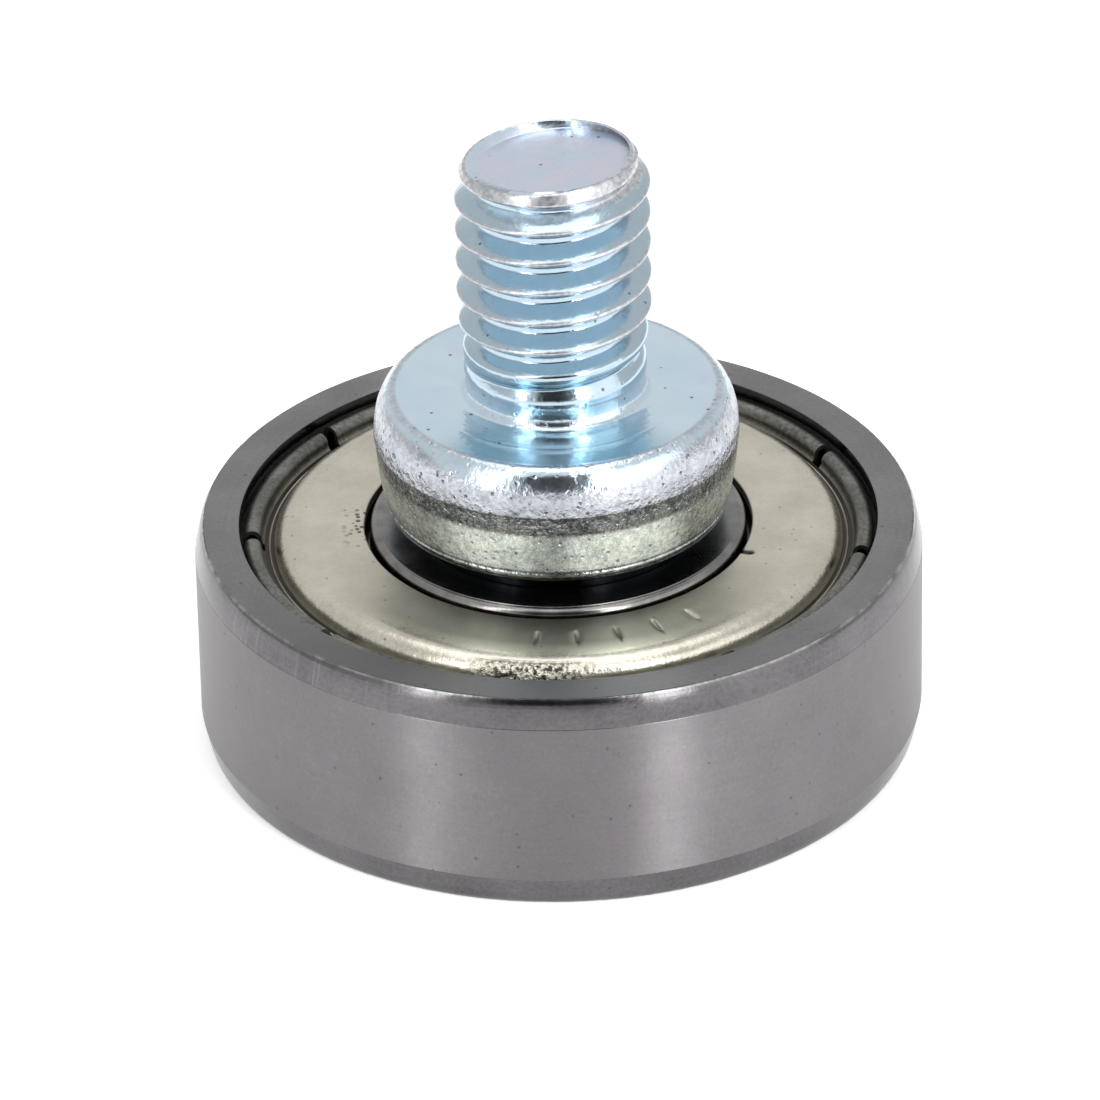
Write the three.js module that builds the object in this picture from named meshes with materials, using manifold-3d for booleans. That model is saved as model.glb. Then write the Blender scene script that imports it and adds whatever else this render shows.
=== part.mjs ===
// A stud-type track roller: a shielded deep-groove ball bearing whose outer ring is the rolling
// tread, riveted onto the spigot of a collared stud with a rolled metric thread.
// Millimetres, +Z up along the stud. The origin is the centre of the bearing's bottom face.
import * as THREE from 'three';
import { mergeVertices } from 'three/addons/utils/BufferGeometryUtils.js';
import Module from 'manifold-3d';

const wasm = await Module();
wasm.setup();

// Bearing, to the standard 8 x 22 x 7 boundary dimensions
const WIDTH = 7;
const BORE_R = 4;
const TREAD_R = 11;
const MID_Z = WIDTH / 2;

// Rolling elements
const BALL_COUNT = 7;
const BALL_R = 1.9845;
const PITCH_R = 7.5;
const GROOVE_R = 2.064;
const INNER_PLAY = 0.01;
const OUTER_PLAY = 0.03;

// Outer ring
const TREAD_CORNER_RADIAL = 0.27;
const TREAD_CORNER_AXIAL = 0.9;
const LIP_R = 9.64;
const LIP_Z = 6.62;
const LIP_SLOPE_H = 0.1;
const SHIELD_GROOVE_R = 9.78;
const SHELF_Z = 6.08;
const OUTER_LAND_R = 8.95;

// Inner ring
const INNER_FACE_R = 5.45;
const INNER_STEP_R = 5.62;
const INNER_STEP_Z = 6.2;
const INNER_LAND_R = 6.05;
const BORE_CHAMFER = 0.25;

// Pressed shields, one in each side of the outer ring
const SHIELD_HOLE_R = 5.85;
const SHIELD_TOP_Z = 6.83;
const SHIELD_SHEET = 0.28;
const SHIELD_FLAT_R = 7.95;
const SHIELD_EDGE_W = 0.65;
const SHIELD_EDGE_H = 0.58;
const VALLEY_R = 8.77;
const VALLEY_W = 0.22;
const VALLEY_Z = 6.3;
const CURL_R = 9.25;
const CURL_TOP_Z = 6.8;
const CURL_SECTION_R = 0.25;
const SHIELD_RIM_R = 9.72;
const SHIELD_RIM_Z = 6.48;
const SHIELD_SEAT_Z = 6.1;
const NOTCH_DEG = [-12, 27, 65, 103, 140.2, 182.4, 222, 262, 302];
const NOTCH_WIDTH = 0.45;
const NOTCH_LENGTH = 0.58;

// Two-piece riveted ribbon cage
const CAGE_INNER_R = 6.5;
const CAGE_OUTER_R = 8.5;
const CAGE_SHEET = 0.3;
const POCKET_R = 2.14;
const RIVET_R = 0.3;
const RIVET_HEAD_R = 0.48;
const RIVET_HEAD_CROWN_R = 0.34;
const RIVET_HEAD_H = 0.22;
const RIVET_PLAY = 0.02;

// Collared stud
const SPIGOT_R = 3.97;
const SWAGE_R = 4.15;
const SWAGE_Z = 0.05;
const DIMPLE_R = 1.6;
const DIMPLE_DEPTH = 0.6;
const BOSS_R = 4.4;
const COLLAR_R = 5.5;
const COLLAR_BOTTOM_Z = 7.65;
const COLLAR_TOP_Z = 11.45;
const COLLAR_FLAT_R = 4.86;
const SHOULDER_H = 1.35;
const COLLAR_STEP = 0.04;
const COLLAR_TAPER_R = 5.2;
const COLLAR_CHAMFER_R = 5.08;
const COLLAR_CHAMFER_H = 0.2;
const NECK_R = 2.7;
const NECK_FILLET_R = 3.02;
const NECK_FILLET_H = 0.25;
const THREAD_START_Z = 12.95;

// The stud's free end. It was sheared a little out of square, and rolling left a shallow cup in it, so
// both planes slope: their heights on the axis, and how much they rise per millimetre along X and Y
const END_PLANE = { z: 19.19, riseX: 0.076, riseY: -0.02 };
const CUP_PLANE = { z: 19.05, riseX: 0.075, riseY: -0.078 };
const CUP_R = 2.26;
const POINT_CONE_Z = 18.43;
const POINT_TOP_Z = 19.45;
const POINT_TOP_R = 2.36;

// M6 x 1 rolled thread
const THREAD_PITCH = 1;
const THREAD_CREST_R = 2.94;
const THREAD_ROOT_R = 2.387;
const THREAD_CREST_W = 0.14;
const THREAD_SUNK = 0.09;
const THREAD_FLANK = Math.tan(THREE.MathUtils.degToRad(30));
const THREAD_PHASE_Z = 13.368;
const THREAD_FIRST_TURN = -0.75;
const THREAD_LAST_TURN = 6.25;
const THREAD_RUNOUT_TURNS = 0.5;
const THREAD_RUNOUT_HEIGHT = 0.1;
const THREAD_END_Z = 18.65;
const THREAD_END_H = 0.4;
const THREAD_END_R = 2.52;

// Facets around each revolved piece, and along one turn of the thread
const OUTER_FACETS = 48;
const INNER_FACETS = 36;
const SHIELD_FACETS = 36;
const CAGE_FACETS = 28;
const STUD_FACETS = 36;
const BALL_FACETS = 12;
const BALL_RINGS = 6;
const RIVET_FACETS = 8;
const THREAD_FACETS = 18;

const steel = (color, roughness) => new THREE.MeshStandardMaterial({ color, roughness, metalness: 1 });
const MATERIALS = {
  ring: steel(0x96979a, 0.35),
  shield: steel(0xb9b4a6, 0.3),
  zinc: steel(0xbccbd6, 0.2),
  ball: steel(0xd5d7d9, 0.08),
  cage: steel(0xa6a29a, 0.35),
  rivet: steel(0xb0aea8, 0.35),
};

// An elliptical arc as [radius, height] points, from one angle to the other in degrees
function arc(r, z, radial, axial, from, to, steps) {
  const points = [];
  for (let i = 0; i <= steps; i++) {
    const a = THREE.MathUtils.degToRad(from + ((to - from) * i) / steps);
    points.push([r + radial * Math.cos(a), z + axial * Math.sin(a)]);
  }
  return points;
}

// The half outline above mid-width followed by its mirror image below, for a ring with two equal faces
function mirrored(upper) {
  const lower = upper.map(([r, z]) => [r, WIDTH - z]).reverse();
  return [...upper, ...lower];
}

// A solid of revolution about Z from [radius, height] points that go anticlockwise round the section
function revolve(outline, facets) {
  const onAxis = outline[0][0] === 0;
  const loop = onAxis ? outline : [...outline, outline[0]];
  const points = loop.map(([r, z]) => new THREE.Vector2(r, z));
  return new THREE.LatheGeometry(points, facets).rotateX(Math.PI / 2);
}

function solidOf(geometry) {
  const bare = geometry.clone();
  bare.deleteAttribute('normal');
  bare.deleteAttribute('uv');
  const merged = mergeVertices(bare);
  const corners = merged.index.array;
  const triangles = [];
  for (let i = 0; i < corners.length; i += 3) {
    const [a, b, c] = corners.subarray(i, i + 3);
    if (a !== b && b !== c && c !== a) triangles.push(a, b, c);
  }
  const vertProperties = merged.attributes.position.array;
  const triVerts = new Uint32Array(triangles);
  return new wasm.Manifold(new wasm.Mesh({ numProp: 3, vertProperties, triVerts }));
}

function geometryOf(solid) {
  const mesh = solid.getMesh();
  const geometry = new THREE.BufferGeometry();
  geometry.setAttribute('position', new THREE.BufferAttribute(mesh.vertProperties, 3));
  geometry.setIndex(new THREE.BufferAttribute(mesh.triVerts, 1));
  geometry.computeVertexNormals();
  return geometry;
}

const group = new THREE.Group();

function addPart(name, geometry, material) {
  const mesh = new THREE.Mesh(geometry, material.clone());
  mesh.name = name;
  group.add(mesh);
  return mesh;
}

// Half the angle that a raceway groove opens over before it meets the ring's land
function grooveAngle(centreR, landR) {
  return THREE.MathUtils.radToDeg(Math.acos(Math.abs(landR - centreR) / GROOVE_R));
}

function outerRing() {
  const grooveCentre = PITCH_R + BALL_R + OUTER_PLAY - GROOVE_R;
  const opening = grooveAngle(grooveCentre, OUTER_LAND_R);
  const cornerR = TREAD_R - TREAD_CORNER_RADIAL;
  const cornerZ = WIDTH - TREAD_CORNER_AXIAL;
  const upper = [
    ...arc(cornerR, cornerZ, TREAD_CORNER_RADIAL, TREAD_CORNER_AXIAL, 0, 90, 3),
    [LIP_R, WIDTH],
    [LIP_R, LIP_Z],
    [SHIELD_GROOVE_R, LIP_Z - LIP_SLOPE_H],
    [SHIELD_GROOVE_R, SHELF_Z],
    [OUTER_LAND_R, SHELF_Z],
    ...arc(grooveCentre, MID_Z, GROOVE_R, GROOVE_R, opening, opening / 5, 2),
  ];
  return revolve(mirrored(upper), OUTER_FACETS);
}

function innerRing() {
  const grooveCentre = PITCH_R - BALL_R - INNER_PLAY + GROOVE_R;
  const opening = grooveAngle(grooveCentre, INNER_LAND_R);
  const cornerR = INNER_STEP_R - INNER_FACE_R;
  const upper = [
    ...arc(grooveCentre, MID_Z, GROOVE_R, GROOVE_R, 180 - opening / 5, 180 - opening, 2),
    [INNER_LAND_R, INNER_STEP_Z],
    [INNER_STEP_R, INNER_STEP_Z],
    ...arc(INNER_FACE_R, WIDTH - cornerR, cornerR, cornerR, 0, 90, 2),
    [BORE_R + BORE_CHAMFER, WIDTH],
    [BORE_R, WIDTH - BORE_CHAMFER],
  ];
  return revolve(mirrored(upper), INNER_FACETS);
}

// One pressed shield in its upper place: a flat web whose edge rolls down into a valley, then a
// curled rim whose skirt sits under the outer ring's lip
function shield() {
  const edgeFoot = SHIELD_TOP_Z - SHIELD_EDGE_H;
  const underEdgeR = SHIELD_FLAT_R + SHIELD_EDGE_W / 2;
  const section = [
    [SHIELD_HOLE_R, SHIELD_TOP_Z - SHIELD_SHEET],
    [SHIELD_FLAT_R, SHIELD_TOP_Z - SHIELD_SHEET],
    [underEdgeR, SHIELD_SEAT_Z],
    [SHIELD_RIM_R, SHIELD_SEAT_Z],
    [SHIELD_RIM_R, SHIELD_RIM_Z],
    ...arc(CURL_R, CURL_TOP_Z - CURL_SECTION_R, CURL_SECTION_R, CURL_SECTION_R, 15, 165, 3),
    [VALLEY_R + VALLEY_W / 2, VALLEY_Z],
    [VALLEY_R - VALLEY_W / 2, VALLEY_Z],
    ...arc(SHIELD_FLAT_R, edgeFoot, SHIELD_EDGE_W, SHIELD_EDGE_H, 10, 90, 3),
    [SHIELD_HOLE_R, SHIELD_TOP_Z],
  ];
  let solid = solidOf(revolve(section, SHIELD_FACETS));
  for (const degrees of NOTCH_DEG) {
    const angle = THREE.MathUtils.degToRad(degrees);
    const cutter = new THREE.BoxGeometry(NOTCH_LENGTH, NOTCH_WIDTH, 2 * CURL_SECTION_R);
    solid = solid.subtract(solidOf(cutter.translate(CURL_R, 0, CURL_TOP_Z).rotateZ(angle)));
  }
  return geometryOf(solid);
}

// Where the i-th of BALL_COUNT equal places round the pitch circle is, with half steps for what lies between
function pitchAngle(i) {
  return (2 * Math.PI * i) / BALL_COUNT;
}

function onPitchCircle(object, i) {
  object.position.set(PITCH_R * Math.cos(pitchAngle(i)), PITCH_R * Math.sin(pitchAngle(i)), MID_Z);
}

// The upper half of the cage: a flat washer with a domed pocket over each ball and a hole for each rivet
function cageHalf() {
  const band = [
    [CAGE_INNER_R, MID_Z],
    [CAGE_OUTER_R, MID_Z],
    [CAGE_OUTER_R, SHELF_Z],
    [CAGE_INNER_R, SHELF_Z],
  ];
  const flat = band.map(([r, z]) => [r, Math.min(z, MID_Z + CAGE_SHEET)]);
  let domes = solidOf(revolve(flat, CAGE_FACETS));
  let hollows = null;
  for (let i = 0; i < BALL_COUNT; i++) {
    const dome = solidOf(pocketSphere(POCKET_R + CAGE_SHEET, i));
    const hollow = solidOf(pocketSphere(POCKET_R, i));
    domes = domes.add(dome);
    hollows = hollows ? hollows.add(hollow) : hollow;
    hollows = hollows.add(solidOf(rivetHole(i + 0.5)));
  }
  const clipped = domes.intersect(solidOf(revolve(band, CAGE_FACETS)));
  return geometryOf(clipped.subtract(hollows));
}

function pocketSphere(radius, i) {
  const sphere = new THREE.SphereGeometry(radius, BALL_FACETS, BALL_RINGS).rotateX(Math.PI / 2);
  return sphere.translate(PITCH_R, 0, MID_Z).rotateZ(pitchAngle(i));
}

function rivetHole(i) {
  const r = RIVET_R + RIVET_PLAY;
  const hole = new THREE.CylinderGeometry(r, r, 4 * CAGE_SHEET, RIVET_FACETS);
  return hole.rotateX(Math.PI / 2).translate(PITCH_R, 0, MID_Z).rotateZ(pitchAngle(i));
}

// A rivet with a low domed head at both ends, centred on its own origin
function rivet() {
  const seat = CAGE_SHEET + RIVET_PLAY;
  const top = seat + RIVET_HEAD_H;
  const headTop = [
    [RIVET_R, seat],
    [RIVET_HEAD_R, seat],
    [RIVET_HEAD_CROWN_R, top],
    [0, top],
  ];
  const headBottom = headTop.map(([r, z]) => [r, -z]).reverse();
  return revolve([...headBottom, ...headTop], RIVET_FACETS);
}

// The rolled thread's ridge: a straight strip with the thread's section, bent into a right-hand helix.
// It rises out of the neck over THREAD_RUNOUT_TURNS at its lower end.
function threadRidge() {
  const foot = THREAD_ROOT_R - THREAD_SUNK;
  const halfFoot = THREAD_CREST_W / 2 + (THREAD_CREST_R - foot) * THREAD_FLANK;
  const section = new THREE.Shape([
    new THREE.Vector2(-halfFoot, foot),
    new THREE.Vector2(halfFoot, foot),
    new THREE.Vector2(THREAD_CREST_W / 2, THREAD_CREST_R),
    new THREE.Vector2(-THREAD_CREST_W / 2, THREAD_CREST_R),
  ]);
  const turns = THREAD_LAST_TURN - THREAD_FIRST_TURN;
  const steps = turns * THREAD_FACETS;
  const strip = new THREE.ExtrudeGeometry(section, { depth: turns, steps, bevelEnabled: false });
  const position = strip.attributes.position;
  for (let i = 0; i < position.count; i++) {
    const along = position.getZ(i);
    const turn = THREAD_FIRST_TURN + along;
    const grown = THREE.MathUtils.lerp(THREAD_RUNOUT_HEIGHT, 1, Math.min(1, along / THREAD_RUNOUT_TURNS));
    const radius = foot + (position.getY(i) - foot) * grown;
    const angle = 2 * Math.PI * turn;
    const height = THREAD_PHASE_Z + position.getX(i) + THREAD_PITCH * turn;
    position.setXYZ(i, radius * Math.cos(angle), radius * Math.sin(angle), height);
  }
  return strip;
}

// The space that the thread may fill: a cylinder whose free end is coned
function threadEnvelope() {
  const outline = [
    [0, COLLAR_TOP_Z],
    [THREAD_CREST_R, COLLAR_TOP_Z],
    [THREAD_CREST_R, POINT_CONE_Z],
    [POINT_TOP_R, POINT_TOP_Z],
    [0, POINT_TOP_Z],
  ];
  return revolve(outline, STUD_FACETS);
}

// The part of a solid that is above a sloping plane, or below it
function cutBy(solid, { z, riseX, riseY }, keepAbove) {
  const side = keepAbove ? 1 : -1;
  const normal = [-riseX * side, -riseY * side, side];
  return solid.trimByPlane(normal, (z * side) / Math.hypot(...normal));
}

// The shallow cup that rolling leaves in the free end
function cup() {
  const outline = [
    [0, THREAD_END_Z],
    [CUP_R, THREAD_END_Z],
    [CUP_R, POINT_TOP_Z + 1],
    [0, POINT_TOP_Z + 1],
  ];
  return cutBy(solidOf(revolve(outline, STUD_FACETS)), CUP_PLANE, true);
}

// Everything on the stud but the thread: the swaged end, spigot, boss, collar, neck, core and point
function studBlank() {
  const outline = [
    [0, SWAGE_Z + DIMPLE_DEPTH],
    [DIMPLE_R, SWAGE_Z],
    [SWAGE_R, SWAGE_Z],
    [SPIGOT_R, SWAGE_Z + SWAGE_R - SPIGOT_R],
    [SPIGOT_R, WIDTH],
    [BOSS_R, WIDTH],
    [BOSS_R, COLLAR_BOTTOM_Z],
    [COLLAR_CHAMFER_R, COLLAR_BOTTOM_Z],
    [COLLAR_TAPER_R, COLLAR_BOTTOM_Z + COLLAR_CHAMFER_H],
    [COLLAR_R - COLLAR_STEP, COLLAR_TOP_Z - SHOULDER_H - COLLAR_STEP],
    ...arc(COLLAR_FLAT_R, COLLAR_TOP_Z - SHOULDER_H, COLLAR_R - COLLAR_FLAT_R, SHOULDER_H, 0, 90, 4),
    [NECK_FILLET_R, COLLAR_TOP_Z],
    [NECK_R, COLLAR_TOP_Z + NECK_FILLET_H],
    [NECK_R, THREAD_START_Z],
    [THREAD_ROOT_R, THREAD_START_Z + NECK_R - THREAD_ROOT_R],
    [THREAD_ROOT_R, THREAD_END_Z],
    [THREAD_END_R, THREAD_END_Z + THREAD_END_H],
    [POINT_TOP_R, POINT_TOP_Z],
    [0, POINT_TOP_Z],
  ];
  return revolve(outline, STUD_FACETS);
}

function stud() {
  const thread = solidOf(threadRidge()).intersect(solidOf(threadEnvelope()));
  const whole = solidOf(studBlank()).add(thread);
  return geometryOf(cutBy(whole, END_PLANE, false).subtract(cup()));
}

addPart('outer_ring', outerRing(), MATERIALS.ring);
addPart('inner_ring', innerRing(), MATERIALS.ring);
addPart('shield_upper', shield(), MATERIALS.shield);
const shieldLower = addPart('shield_lower', shield(), MATERIALS.shield);
shieldLower.rotation.x = Math.PI;
shieldLower.position.z = WIDTH;
for (let i = 0; i < BALL_COUNT; i++) {
  const sphere = new THREE.SphereGeometry(BALL_R, BALL_FACETS, BALL_RINGS).rotateX(Math.PI / 2);
  onPitchCircle(addPart(`ball_${i + 1}`, sphere, MATERIALS.ball), i);
}
addPart('cage_upper', cageHalf(), MATERIALS.cage);
const cageLower = addPart('cage_lower', cageHalf(), MATERIALS.cage);
cageLower.rotation.x = Math.PI;
cageLower.position.z = WIDTH;
for (let i = 0; i < BALL_COUNT; i++) {
  onPitchCircle(addPart(`cage_rivet_${i + 1}`, rivet(), MATERIALS.rivet), i + 0.5);
}
addPart('stud', stud(), MATERIALS.zinc);

export default group;
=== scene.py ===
import math

import bmesh
import bpy
import numpy as np
from mathutils import Matrix, Vector, noise


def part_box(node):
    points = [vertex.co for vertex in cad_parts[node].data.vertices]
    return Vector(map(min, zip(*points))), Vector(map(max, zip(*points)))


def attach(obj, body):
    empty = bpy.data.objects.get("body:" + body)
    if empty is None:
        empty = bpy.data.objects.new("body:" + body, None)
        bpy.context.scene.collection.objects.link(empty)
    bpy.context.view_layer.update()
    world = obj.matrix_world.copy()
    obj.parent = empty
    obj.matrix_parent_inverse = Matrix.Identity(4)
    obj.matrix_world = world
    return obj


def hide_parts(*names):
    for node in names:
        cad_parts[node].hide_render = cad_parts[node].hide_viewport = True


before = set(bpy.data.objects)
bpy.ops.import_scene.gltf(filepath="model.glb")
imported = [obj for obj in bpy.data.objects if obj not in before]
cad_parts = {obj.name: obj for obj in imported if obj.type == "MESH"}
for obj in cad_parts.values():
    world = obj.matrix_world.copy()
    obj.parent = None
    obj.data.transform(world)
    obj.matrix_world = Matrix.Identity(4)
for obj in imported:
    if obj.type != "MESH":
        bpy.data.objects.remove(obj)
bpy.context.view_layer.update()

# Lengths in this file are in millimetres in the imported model's frame; Blender's metres come last.
MM = 0.001


def box_mm(node):
    low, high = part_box(node)
    return Vector(low) / MM, Vector(high) / MM


TREAD_R = box_mm("outer_ring")[1].x
WIDTH = box_mm("outer_ring")[1].z
MID_Z = WIDTH / 2
INNER_OUTER_R = box_mm("inner_ring")[1].x
SHIELD_TOP_Z = box_mm("shield_upper")[1].z
SHIELD_SEAT_Z = box_mm("shield_upper")[0].z
SHIELD_RIM_R = box_mm("shield_upper")[1].x
STUD_END_Z = box_mm("stud")[1].z
COLLAR_R = box_mm("stud")[1].x

# A mark below is a heading, then how far round from it, in radians, it is full and where it ends.
# Headings are degrees counterclockwise from the right, seen from above; the photo's front is -90.

# Outer ring
CORNER_TOP_R = 10.73
CORNER_FOOT_Z = 6.08
LIP_R = 9.64
LIP_Z = 6.62
SHIELD_GROOVE_R = 9.78
SHELF_Z = 6.08
OUTER_LAND_R = 8.95
CORNER_CURVE = (
    (10.965, 6.25),
    (10.925, 6.45),
    (10.885, 6.65),
    (10.85, 6.80),
    (10.83, 6.86),
    (10.80, 6.92),
)
SCUFF = (-137, 0.2, 0.5)
SMEAR = (-100, 0.15, 1.2)

# Inner ring
BORE_R = 4.0
INNER_FACE_R = 5.45
INNER_STEP_R = 5.68
INNER_STEP_Z = 6.2
INNER_CORNER_W = INNER_STEP_R - INNER_FACE_R
INNER_CHAMFER = 0.25
# Painted shade: the inner ring's face is near black round this heading, where it reflects the
# collar's underside
OIL = (-85, 0.75, 1.25)

# Rolling elements
BALL_COUNT = 7
BALL_R = 1.9845
PITCH_R = 7.5
GROOVE_R = 2.064
INNER_PLAY = 0.01
OUTER_PLAY = 0.03

# Shields
SHIELD_HOLE_R = 5.85
SHIELD_SHEET = 0.28
SHIELD_FLAT_R = 7.9
SHIELD_EDGE_W = 0.69
SHIELD_EDGE_H = 0.58
SHIELD_UNDER_CURVE = ((8.28, 6.13), (8.12, 6.3), (7.98, 6.47))
VALLEY_IN_R = 8.63
VALLEY_OUT_R = 8.88
VALLEY_Z = 6.24
CURL_R = 9.26
CURL_Z = 6.44
CURL_OUT_R = 0.28
CURL_IN_R = 0.15
NOTCH_DEG = (-12, 27, 65, 103, 140.2, 182.4, 222, 262, 302)
NOTCH_HALF_W = 0.225
TICK_DEG = (-96, -86, -76, -66, -56)
TICK_R = 6.95
TICK_HALF_L = 0.26
TICK_BEVEL = 0.10
TICK_DEPTH = 0.05

# A knock in the edge of the shield's hole: its heading, outer radius, half width and depth
NICK_DEG = -21
NICK_R = 6.28
NICK_HALF_W = 0.15
NICK_DEPTH = 0.13

# Marks on the shield. A band is where something begins, is full, starts to fade and has gone.
BEND_BAND_R = (7.6, 7.9, 8.5, 8.6)
CRAZING = (-96, 0.08, 0.28)
CRAZING_BAND_R = (8.2, 8.36, 8.6, 8.65)
BURRS_DEG = -178
BURRS_HALF_W = 0.7
BURRS_FADE_W = 0.9
BURRS_FADE_R = (6.0, 6.8)
# The web is darker round this heading, by the hole
GREASE = (-93, 0.1, 1.25)

# Stud
SPIGOT_R = 3.97
SWAGE_R = 4.15
SWAGE_Z = 0.05
DIMPLE_R = 1.6
DIMPLE_DEPTH = 0.6
BOSS_R = 4.4
COLLAR_BOTTOM_Z = 7.65
COLLAR_TOP_Z = 11.45
COLLAR_FLAT_R = 4.86
SHOULDER_H = 1.35
SHOULDER_Z = COLLAR_TOP_Z - SHOULDER_H
NECK_R = 2.735
NECK_CURVE = (
    (2.90, 11.465),
    (2.80, 11.50),
    (2.73, 11.56),
    (2.68, 11.64),
    (2.65, 11.74),
    (2.643, 11.84),
    (2.655, 11.94),
    (2.685, 12.05),
    (2.72, 12.14),
    (NECK_R, 12.20),
)
THREAD_LOW_Z = 12.24
THREAD_PITCH = 1.0
THREAD_CREST_R = 2.94
THREAD_ROOT_R = 2.32
THREAD_CREST_HALF = 0.05
THREAD_FLANK = math.tan(math.radians(30))
THREAD_PHASE_Z = 13.368
THREAD_END_Z = 18.55
ROOT_GROWS_Z = (12.2, 13.4)
CREST_GROWS_Z = (12.8, 14.4)
# Painted shade on the flank under each crest: where it lies in the phase, and the heights where it
# comes in
GROOVE_BAND = (-0.46, -0.38, -0.10, -0.06)
GROOVE_TINT_Z = (12.4, 13.0)
THREAD_TINT_Z = (11.8, 12.5)
CREST_WORN_Z = 12.6
CREST_WORN_R = (2.82, 2.92)
CONE_Z = 18.43
CONE_TIP_R = 2.36
CONE_TIP_Z = 19.45
CONE_SLOPE = (THREAD_CREST_R - CONE_TIP_R) / (CONE_TIP_Z - CONE_Z)

# The sloping planes of the stud's end: height on the axis, rise per millimetre along X and along Y
END_PLANE = (19.19, 0.076, -0.02)
CUP_PLANE = (19.05, 0.075, -0.078)
CUP_R = 2.38

# The collar's side narrows towards its foot, in rows at these heights
SIDE_TOP_Z = 10.0
SIDE_TAPER = 0.25
SIDE_TAPER_H = 2
SIDE_ROWS_Z = (8.02, 8.08, 8.3, 8.5, 8.7, 8.9, 9.1, 9.3, 9.37, 9.43, 9.5)

# Marks on the collar, whose underside is painted black as shade out to this radius
UNDERSIDE_R = 5.0
# A dark band under the shoulder, and a line of painted shade in the groove above the foot
STAIN_BAND_Z = (9.36, 9.44, 9.98, 10.05)
STAIN_LINE_Z = (7.89, 7.92, 7.99, 8.02)
# Painted sheen on the front of the collar's side: its heading, its heights and a dimmer streak down
# it
CLEAN = (-89, 0.55, 0.85)
CLEAN_BAND_Z = (7.97, 8.05, 9.3, 9.42)
WORN_STREAK = (-93, 0.05, 0.16)
SHINE = (-92, 0.5, 0.9)
# Painted reflection, dark cyan, on the collar's top in front of the neck, weaker in the middle
FILM = (-90, 0.5, 0.95)
FILM_MIDDLE = (-90, 0.05, 0.25)

COLUMNS = 240


def smoothstep(low, high, x):
    t = min(1.0, max(0.0, (x - low) / (high - low)))
    return t * t * (3 - 2 * t)


def lerp(a, b, t):
    return a + (b - a) * t


def band(x, begin, full, fade, gone):
    return smoothstep(begin, full, x) * (1 - smoothstep(fade, gone, x))


def plateau(distance, half, bevel):
    """1 within half of the centre, falling to 0 over bevel."""
    return 1 - smoothstep(half, half + bevel, abs(distance))


def turn_difference(a, b):
    """From b to a the short way round, in radians."""
    return (a - b + math.pi) % (2 * math.pi) - math.pi


def around_mark(a, mark):
    """1 at the mark's heading, falling to 0 at its ends."""
    heading, full, gone = mark
    return 1 - smoothstep(full, gone, abs(turn_difference(a, math.radians(heading))))


def around(count):
    return [2 * math.pi * i / count for i in range(count)]


def polar(r, a, z):
    return r * math.cos(a), r * math.sin(a), z


def ripple(r, a, z):
    """Smooth noise, about -1 to 1, at a point of its own field."""
    return noise.noise(Vector(polar(r, a, z)))


def arc(r, z, radial, axial, start, end, steps):
    """An elliptical arc as (radius, height) points, angles in degrees."""
    angles = [math.radians(lerp(start, end, i / steps)) for i in range(steps + 1)]
    return [(r + radial * math.cos(a), z + axial * math.sin(a)) for a in angles]


def rounded(corners):
    """An open (radius, height) polyline whose corners (r, z, fillet) are rounded."""
    steps = 4
    out = []
    for i, corner in enumerate(corners):
        here = Vector(corner[:2])
        fillet = corner[2] if len(corner) > 2 else 0
        if not fillet:
            out.append(tuple(here))
            continue
        before = Vector(corners[i - 1][:2]) - here
        after = Vector(corners[i + 1][:2]) - here
        half = before.angle(after) / 2
        reach = min(fillet / math.tan(half), before.length * 0.49, after.length * 0.49)
        start = here + before.normalized() * reach
        end = here + after.normalized() * reach
        for s in range(steps + 1):
            t = s / steps
            out.append(tuple((1 - t) ** 2 * start + 2 * t * (1 - t) * here + t ** 2 * end))
    return out


def dense(points, spacing, closed=True):
    """The same polyline with no segment longer than spacing."""
    out = []
    last = len(points) if closed else len(points) - 1
    for i in range(last):
        a, b = Vector(points[i]), Vector(points[(i + 1) % len(points)])
        pieces = max(1, math.ceil((b - a).length / spacing))
        out += [tuple(a.lerp(b, k / pieces)) for k in range(pieces)]
    return out if closed else out + [points[-1]]


def revolve(profile, angles, closed=True, warp=None):
    """Vertices and faces of a (radius, height) profile turned once round Z."""
    rows = len(profile)
    verts = []
    for a in angles:
        for r, z in profile:
            if warp:
                r, z = warp(r, z, a)
            verts.append(polar(r, a, z))
    faces = []
    for j in range(len(angles)):
        k = (j + 1) % len(angles)
        for i in range(rows if closed else rows - 1):
            n = (i + 1) % rows
            faces.append((j * rows + i, k * rows + i, k * rows + n, j * rows + n))
    return verts, faces


def joined(*meshes):
    verts, faces = [], []
    for more_verts, more_faces in meshes:
        base = len(verts)
        verts += more_verts
        faces += [tuple(base + i for i in face) for face in more_faces]
    return verts, faces


def piece(name, mesh_data, body, replaced, sharp_deg=32, turned=None):
    """A finished mesh object from millimetre vertices, riding on its CAD body."""
    verts, faces = mesh_data
    mesh = bpy.data.meshes.new(name)
    mesh.from_pydata([Vector(v) * MM for v in verts], [], faces)
    bm = bmesh.new()
    bm.from_mesh(mesh)
    bmesh.ops.remove_doubles(bm, verts=bm.verts, dist=2e-7)
    loose = [v for v in bm.verts if not v.link_faces]
    bmesh.ops.delete(bm, geom=loose, context="VERTS")
    bmesh.ops.recalc_face_normals(bm, faces=bm.faces)
    bm.to_mesh(mesh)
    bm.free()
    if turned is not None:
        mesh.transform(turned)
    mesh.polygons.foreach_set("use_smooth", [True] * len(mesh.polygons))
    mesh.set_sharp_from_angle(angle=math.radians(sharp_deg))
    obj = bpy.data.objects.new(name, mesh)
    bpy.context.scene.collection.objects.link(obj)
    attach(obj, body)
    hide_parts(replaced)
    return obj


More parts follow.
